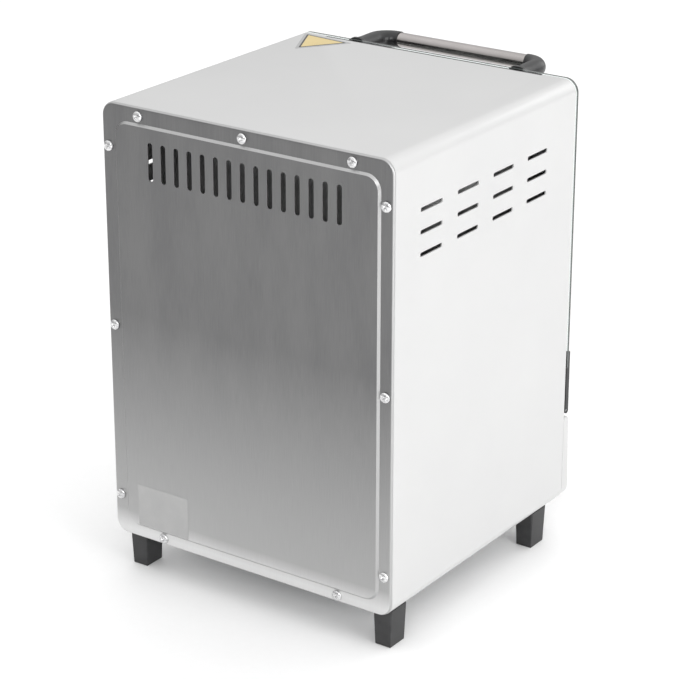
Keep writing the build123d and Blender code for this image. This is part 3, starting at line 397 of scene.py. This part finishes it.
def revolve(bm, profile, steps):
    """Turns (radius, height) points round Z into a closed skin."""
    rings = []
    for radius, height in profile:
        if radius == 0:
            rings.append([bm.verts.new((0, 0, height))] * steps)
        else:
            angles = [2 * math.pi * i / steps for i in range(steps)]
            rings.append([bm.verts.new((radius * math.cos(a), radius * math.sin(a), height))
                          for a in angles])
    for low, high in zip(rings, rings[1:]):
        for i in range(steps):
            j = (i + 1) % steps
            corners = []
            for vertex in (low[i], low[j], high[j], high[i]):
                if vertex not in corners:
                    corners.append(vertex)
            if len(corners) > 2:
                bm.faces.new(corners)


def apply_modifiers(piece):
    """Keeps the shape that the modifiers give, without them."""
    depsgraph = bpy.context.evaluated_depsgraph_get()
    mesh = bpy.data.meshes.new_from_object(piece.evaluated_get(depsgraph))
    old = piece.data
    piece.modifiers.clear()
    piece.data = mesh
    bpy.data.meshes.remove(old)


# ---------------------------------------------------------------- rear screws

SCREW_R = 3.8 * MM
SCREW_H = 2.4 * MM
SCREW_WALL = 0.7 * MM
SCREW_SUNK = 0.3 * MM
SCREW_STEPS = 48
# Height, half length and half width of the mouth and of the floor of the cross
CROSS_MOUTH = (SCREW_H + 0.3 * MM, 1.95 * MM, 0.50 * MM)
CROSS_FLOOR = (SCREW_H - 1.5 * MM, 0.80 * MM, 0.32 * MM)
# Three screws along the top, three up each side and two along the bottom
TOP_ROW_Z = TOP_Z - 6.4 * MM
TOP_ROW_X = 87 * MM
COLUMN_X = 113.1 * MM
COLUMN_Z = (TOP_Z - 31 * MM, BODY_BOTTOM_Z + 159.5 * MM, BODY_BOTTOM_Z + 30 * MM)
BOTTOM_ROW_X = 75 * MM
BOTTOM_ROW_Z = BODY_BOTTOM_Z + 5 * MM
SCREW_SPOTS = [(x, TOP_ROW_Z) for x in (-TOP_ROW_X, 0, TOP_ROW_X)]
SCREW_SPOTS += [(s * COLUMN_X, z) for s in (-1, 1) for z in COLUMN_Z]
SCREW_SPOTS += [(s * BOTTOM_ROW_X, BOTTOM_ROW_Z) for s in (-1, 1)]
# Degrees that each cross is turned by
SCREW_TURNS = (12, 70, 35, 55, 20, 80, 5, 40, 62, 28, 75)

bm = bmesh.new()
dome = [(SCREW_R, 0.0), (SCREW_R, SCREW_WALL)]
dome += [(SCREW_R * math.cos(a), SCREW_WALL + (SCREW_H - SCREW_WALL) * math.sin(a))
         for a in [math.radians(d) for d in range(9, 90, 9)]]
underside = [(0, -SCREW_SUNK), (SCREW_R * 0.9, -SCREW_SUNK)]
revolve(bm, underside + dome + [(0, SCREW_H)], SCREW_STEPS)
bmesh.ops.recalc_face_normals(bm, faces=bm.faces)
head = plain_object(bm, "screw_head")

bm = bmesh.new()
for turn in (0, math.pi / 2):
    turned = Matrix.Rotation(turn, 3, "Z")
    wings = []
    for z, half_l, half_w in (CROSS_MOUTH, CROSS_FLOOR):
        corners = [(-half_l, -half_w), (half_l, -half_w), (half_l, half_w), (-half_l, half_w)]
        wings.append([bm.verts.new(turned @ Vector((x, y, z))) for x, y in corners])
    prism(bm, wings[1], wings[0])
bmesh.ops.recalc_face_normals(bm, faces=bm.faces)
cutter = plain_object(bm, "screw_cross")
cut = head.modifiers.new("cross", "BOOLEAN")
cut.operation = "DIFFERENCE"
cut.solver = "EXACT"
cut.use_self = True
cut.object = cutter
apply_modifiers(head)

FACE_REAR = Matrix.Rotation(-math.pi / 2, 4, "X")
bm = bmesh.new()
for (x, z), turn in zip(SCREW_SPOTS, SCREW_TURNS):
    turned = Matrix.Rotation(math.radians(turn), 4, "Z")
    one = bmesh.new()
    one.from_mesh(head.data)
    one.transform(Matrix.Translation((x, RIM_Y, z)) @ FACE_REAR @ turned)
    take_in(bm, one)
for leftover in (head, cutter):
    mesh = leftover.data
    bpy.data.objects.remove(leftover)
    bpy.data.meshes.remove(mesh)
screws = object_from(bm, "rear_screw_heads", CHROME, "cabinet")
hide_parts("rear_screws")


# ---------------------------------------------------------------- handle elbows

tube_low, tube_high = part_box("handle_tube")
GLASS_FRONT_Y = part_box("door_glass")[0].y
TUBE_Y = (tube_low.y + tube_high.y) / 2
TUBE_Z = (tube_low.z + tube_high.z) / 2
COLLAR_X = 54.6 * MM
ARM_X = 68.5 * MM
ELBOW_R = 13.9 * MM
ELBOW_STEPS = 12
# Half sizes in millimetres: at the collar's mouth, behind its chamfer, and how they grow
MOUTH_HALF = 5.6
COLLAR_HALF = 6.0
COLLAR_CHAMFER = 0.2 * MM
SWELL = 0.9
FLATTEN = 0.15
# Share of the way from the bend to the pad, half width and half height in millimetres
ARM_SHAPE = ((0.25, 6.9, 6.7), (0.5, 6.9, 6.6), (0.72, 6.9, 6.6), (0.88, 6.9, 6.7),
             (0.96, 6.95, 6.9), (1.0, 7.0, 7.1))
ARM_SUNK = 0.2 * MM
PAD_T = 4.0 * MM
PAD_HALF_W = 7.0 * MM
PAD_RISE = 1.2 * MM
PAD_DROP = 22.0 * MM
PAD_CORNER_R = 5.0 * MM
PAD_EDGE_R = 1.6 * MM
PAD_FRONT_Y = GLASS_FRONT_Y - PAD_T
RING_STEPS = 40


def elbow_rings():
    """X, Y, heading, half width and half height of each ring along one elbow."""
    rings = [(COLLAR_X, TUBE_Y, 0.0, MOUTH_HALF, MOUTH_HALF),
             (COLLAR_X + COLLAR_CHAMFER, TUBE_Y, 0.0, COLLAR_HALF, COLLAR_HALF)]
    for i in range(ELBOW_STEPS + 1):
        share = i / ELBOW_STEPS
        angle = math.pi / 2 * share
        half = COLLAR_HALF + SWELL * share
        rings.append((ARM_X - ELBOW_R + ELBOW_R * math.sin(angle),
                      TUBE_Y + ELBOW_R * (1 - math.cos(angle)),
                      angle, half, half - FLATTEN * share))
    start = TUBE_Y + ELBOW_R
    stop = PAD_FRONT_Y + ARM_SUNK
    for share, half_w, half_h in ARM_SHAPE:
        rings.append((ARM_X, start + (stop - start) * share, math.pi / 2, half_w, half_h))
    return rings


for side_name, side in (("left", -1), ("right", 1)):
    bm = bmesh.new()
    skin = []
    for x, y, angle, half_w, half_h in elbow_rings():
        sideways = Vector((side * math.sin(angle), -math.cos(angle), 0))
        ring = []
        for i in range(RING_STEPS):
            a = 2 * math.pi * i / RING_STEPS
            spot = Vector((side * x, y, TUBE_Z)) + sideways * half_w * MM * math.cos(a)
            ring.append(bm.verts.new(spot + Vector((0, 0, half_h * MM * math.sin(a)))))
        skin.append(ring)
    for low, high in zip(skin, skin[1:]):
        join_rings(bm, low, high)
    bm.faces.new(skin[0])
    bm.faces.new(skin[-1])
    corners = [(-PAD_HALF_W, TOP_Z - PAD_DROP), (PAD_HALF_W, TOP_Z - PAD_DROP),
               (PAD_HALF_W, TOP_Z + PAD_RISE), (-PAD_HALF_W, TOP_Z + PAD_RISE)]
    pad = rounded_plate([(side * ARM_X + x, PAD_FRONT_Y, z) for x, z in corners],
                        PAD_CORNER_R, 8, (0, PAD_T, 0))
    front_edges = [e for e in pad.edges
                   if all(abs(v.co.y - PAD_FRONT_Y) < WELD_REACH for v in e.verts)]
    bmesh.ops.bevel(pad, geom=front_edges, offset=PAD_EDGE_R, segments=4,
                    affect="EDGES", profile=0.5)
    take_in(bm, pad)
    bmesh.ops.recalc_face_normals(bm, faces=bm.faces)
    elbow = object_from(bm, "handle_elbow_" + side_name, BLACK_PLASTIC, "door")
    sharp = elbow.modifiers.new("sharp", "EDGE_SPLIT")
    sharp.split_angle = math.radians(40)
    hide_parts("handle_bracket_" + side_name)


# ---------------------------------------------------------------- stickers

FILM = 0.08 * MM
FILM_GAP = 0.01 * MM
PRINT_STEP = 0.03 * MM


def sticker(name, outline, place, material, corner):
    """A thin bare film drawn in X and Y in millimetres, put where the matrix says."""
    bm = rounded_plate([(x, y, 0) for x, y in in_mm(outline)], corner, 5, (0, 0, FILM))
    bmesh.ops.recalc_face_normals(bm, faces=bm.faces)
    bm.transform(place)
    object_from(bm, name, material, "cabinet", smooth=False)


RATING = [(-96.0, 39.6), (-51.5, 39.6), (-51.5, 71.0), (-96.0, 71.0)]
turned = Matrix.Rotation(math.pi / 2, 4, "X") @ Matrix.Rotation(math.pi, 4, "Y")
place = Matrix.Translation((0, FIELD_Y + FILM_GAP, 0)) @ turned
sticker("rear_sticker", RATING, place, STICKER_FILM, 0.6 * MM)

TRIANGLE = [(106.2, -84.65), (68.4, -81.25), (89.8, -50.95)]


def grown(corners, amount):
    """The triangle with each corner moved out from its middle, in millimetres."""
    middle = Vector((sum(x for x, y in corners) / 3, sum(y for x, y in corners) / 3))
    out = []
    for x, y in corners:
        step = Vector((x, y)) - middle
        out.append(tuple(middle + step * (1 + amount / step.length)))
    return out


TOP_LAYERS = (("film", 4.2, STICKER_FILM, 2.2 * MM), ("outline", 0.0, DARK_PRINT, 1.2 * MM),
              ("field", -2.6, STICKER_YELLOW, 0.8 * MM))
for layer, (part, amount, material, corner) in enumerate(TOP_LAYERS):
    place = Matrix.Translation((0, 0, TOP_Z + FILM_GAP + layer * PRINT_STEP))
    sticker("top_sticker_" + part, grown(TRIANGLE, amount), place, material, corner)


# ---------------------------------------------------------------- dials on the control panel

PANEL_OUT = Vector((0, -0.999295, 0.037533))
PANEL_RIGHT = Vector((1, 0, 0))
PANEL_UP = PANEL_OUT.cross(PANEL_RIGHT)
PANEL_MIDDLE = Vector((0, -98.45 * MM, 61.95 * MM))
KNOB_X = 58 * MM
KNOB_FRONT = 17.2 * MM


def on_panel(x, up_by, out_by):
    """A frame on the sloping panel: X to the right, Y up the panel, Z out of it."""
    origin = PANEL_MIDDLE + PANEL_RIGHT * x + PANEL_UP * up_by + PANEL_OUT * out_by
    turn = Matrix((PANEL_RIGHT, PANEL_UP, PANEL_OUT)).transposed().to_4x4()
    return Matrix.Translation(origin) @ turn


def add_bar(bm, place, half_w, low, high, thickness):
    """A thin upright bar from low to high, in the frame that the matrix gives."""
    corners = [(-half_w, low), (half_w, low), (half_w, high), (-half_w, high)]
    rings = [[bm.verts.new(place @ Vector((x, y, z))) for x, y in corners]
             for z in (0, thickness)]
    prism(bm, rings[0], rings[1])


def add_number(bm, text, place, size):
    """A number in Blender's own font, lying in the frame that the matrix gives."""
    curve = bpy.data.curves.new("number", "FONT")
    curve.body = text
    curve.size = size
    curve.extrude = NUMBER_HALF_T
    curve.align_x = "CENTER"
    curve.align_y = "CENTER"
    letter = bpy.data.objects.new("number", curve)
    bpy.context.scene.collection.objects.link(letter)
    mesh = bpy.data.meshes.new_from_object(letter)
    mesh.transform(place)
    bm.from_mesh(mesh)
    bpy.data.objects.remove(letter)
    bpy.data.meshes.remove(mesh)


# Name, place, sweep in degrees and numbers of each dial
DIALS = (("temperature", -KNOB_X, 270, (0, 50, 100, 150, 200, 250)),
         ("timer", KNOB_X, 300, (0, 10, 20, 30, 40, 50, 60)))
TICKS_PER_NUMBER = 5
TICK_START = 19.6 * MM
# Half width and outer end of the ticks
LONG_TICK = (0.28 * MM, 22.4 * MM)
SHORT_TICK = (0.16 * MM, 21.2 * MM)
TICK_OUT = 0.01 * MM
TICK_T = 0.04 * MM
NUMBER_R = 25.4 * MM
NUMBER_OUT = 0.03 * MM
NUMBER_SIZE = 3.6 * MM
NUMBER_HALF_T = 0.015 * MM
POINTER_HALF_W = 0.7 * MM
POINTER_START = 3.5 * MM
POINTER_STOP = 12.6 * MM
POINTER_T = 0.05 * MM
for dial, dial_x, sweep, numbers in DIALS:
    bm = bmesh.new()
    count = (len(numbers) - 1) * TICKS_PER_NUMBER
    for i in range(count + 1):
        turned = Matrix.Rotation(math.radians(-sweep * i / count), 4, "Z")
        half_w, stop = SHORT_TICK if i % TICKS_PER_NUMBER else LONG_TICK
        add_bar(bm, on_panel(dial_x, 0, TICK_OUT) @ turned, half_w, TICK_START, stop, TICK_T)
    for i, number in enumerate(numbers):
        angle = math.radians(sweep * i / (len(numbers) - 1))
        spot = on_panel(dial_x + NUMBER_R * math.sin(angle), NUMBER_R * math.cos(angle),
                        NUMBER_OUT)
        add_number(bm, str(number), spot, NUMBER_SIZE)
    object_from(bm, dial + "_scale", DARK_PRINT, "cabinet", smooth=False)
    bm = bmesh.new()
    add_bar(bm, on_panel(dial_x, 0, KNOB_FRONT), POINTER_HALF_W, POINTER_START, POINTER_STOP,
            POINTER_T)
    object_from(bm, dial + "_pointer", WHITE_PRINT, dial + "_dial", smooth=False)


# ---------------------------------------------------------------- camera

AZIMUTH = math.radians(215.11)
ELEVATION = math.radians(21.72)
DISTANCE = 1.72098
SHIFT_RIGHT = -2.35 * MM
SHIFT_UP = -18.12 * MM
AIM_Z = 0.185
SENSOR_W = 36.0
LENS = 129.43
back = Vector((math.sin(AZIMUTH) * math.cos(ELEVATION),
               -math.cos(AZIMUTH) * math.cos(ELEVATION), math.sin(ELEVATION)))
right = Vector((0, 0, 1)).cross(back).normalized()
up = back.cross(right)
camera_data = bpy.data.cameras.new("camera")
camera_data.sensor_width = SENSOR_W
camera_data.lens = LENS
camera_data.clip_start = 0.01
camera_data.clip_end = 50.0
camera = bpy.data.objects.new("camera", camera_data)
bpy.context.scene.collection.objects.link(camera)
aim = Vector((0, CASING_Y, AIM_Z))
place = aim + back * DISTANCE + right * SHIFT_RIGHT + up * SHIFT_UP
turned = Matrix((right, up, back)).transposed().to_4x4()
camera.matrix_world = Matrix.Translation(place) @ turned
bpy.context.scene.camera = camera


# ---------------------------------------------------------------- floor and light

bm = bmesh.new()
bmesh.ops.create_grid(bm, x_segments=1, y_segments=1, size=6.0)
floor = plain_object(bm, "floor")
FLOOR = finish("pale_floor", (0.90, 0.90, 0.90), (0.93, 0.93, 0.93), (0.6, 0.7),
               patch=(3, 3, 3), grain=(200, 200, 200), bump_distance=0.00002)
floor.data.materials.append(FLOOR)

# The sky brightens from the horizon up
SKY_LOW = 0.45
SKY_HIGH = 1.38
SKY_TURN = 0.95
world = bpy.data.worlds.new("studio")
world.use_nodes = True
sky = world.node_tree
direction = sky.nodes.new("ShaderNodeTexCoord")
split = sky.nodes.new("ShaderNodeSeparateXYZ")
sky.links.new(direction.outputs["Generated"], split.inputs["Vector"])
strength = remap(sky, split.outputs["Z"], SKY_LOW, SKY_HIGH, 0.0, SKY_TURN)
sky.links.new(strength, sky.nodes["Background"].inputs["Strength"])
sky.nodes["Background"].inputs["Color"].default_value = (1, 1, 1, 1)
bpy.context.scene.world = world
bpy.context.scene.view_settings.view_transform = "Standard"


def softbox(name, position, target, size, power):
    data = bpy.data.lights.new(name, "AREA")
    data.shape = "RECTANGLE"
    data.size, data.size_y = size
    data.energy = power
    lamp = bpy.data.objects.new(name, data)
    bpy.context.scene.collection.objects.link(lamp)
    lamp.location = position
    toward = Vector(target) - Vector(position)
    lamp.rotation_euler = toward.to_track_quat("-Z", "Y").to_euler()


softbox("side_light", (-2.1, 0.3, 0.75), (0, 0, 0.2), (1.4, 1.4), 21)
softbox("rear_light", (-1.2, 2.1, 1.4), (0, 0.1, 0.2), (0.8, 0.8), 14)
softbox("front_light", (-0.6, -2.3, 1.0), (0, 0, 0.2), (1.2, 1.2), 7)
